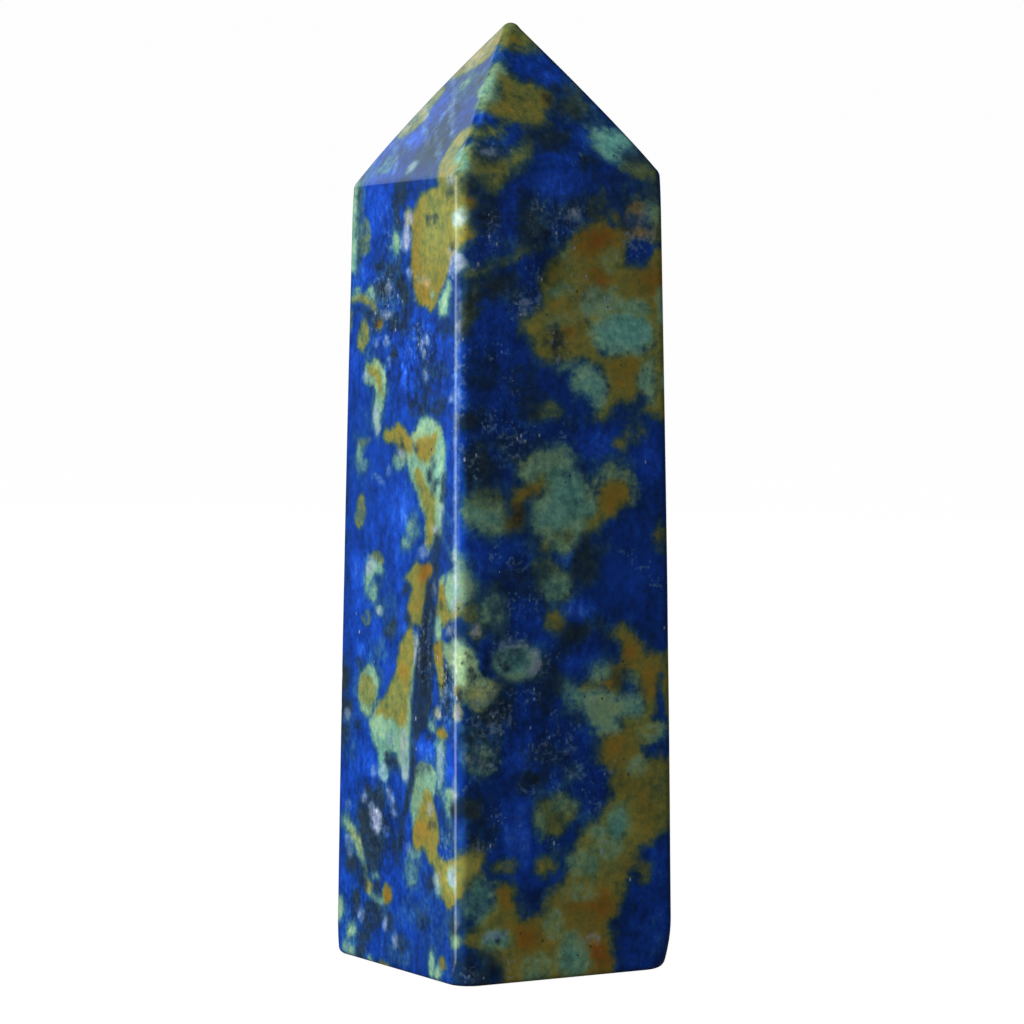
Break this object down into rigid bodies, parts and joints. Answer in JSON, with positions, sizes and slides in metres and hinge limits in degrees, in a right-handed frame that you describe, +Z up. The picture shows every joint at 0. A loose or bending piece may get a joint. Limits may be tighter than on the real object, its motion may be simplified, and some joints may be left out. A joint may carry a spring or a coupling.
{
  "type": "lapis lazuli obelisk",
  "caption": "Polished blue stone obelisk with ochre and green patches: a slightly tapered square shaft on a flat base, ending in a low four-sided point.",
  "frame": {"origin": "middle of the flat base", "axes": "+Z up along the height; -Y is the wide face in the picture's view, -X the narrow face on its left"},
  "size_m": [0.021, 0.0218, 0.08],
  "materials": {
    "lapis": "polished to a gloss; vivid blue with black and navy mottling, ochre-gold, rust-brown and mint-green patches and small whitish flecks"
  },
  "bodies": {
    "root": {"obelisk": "lapis"}
  },
  "joints": []
}
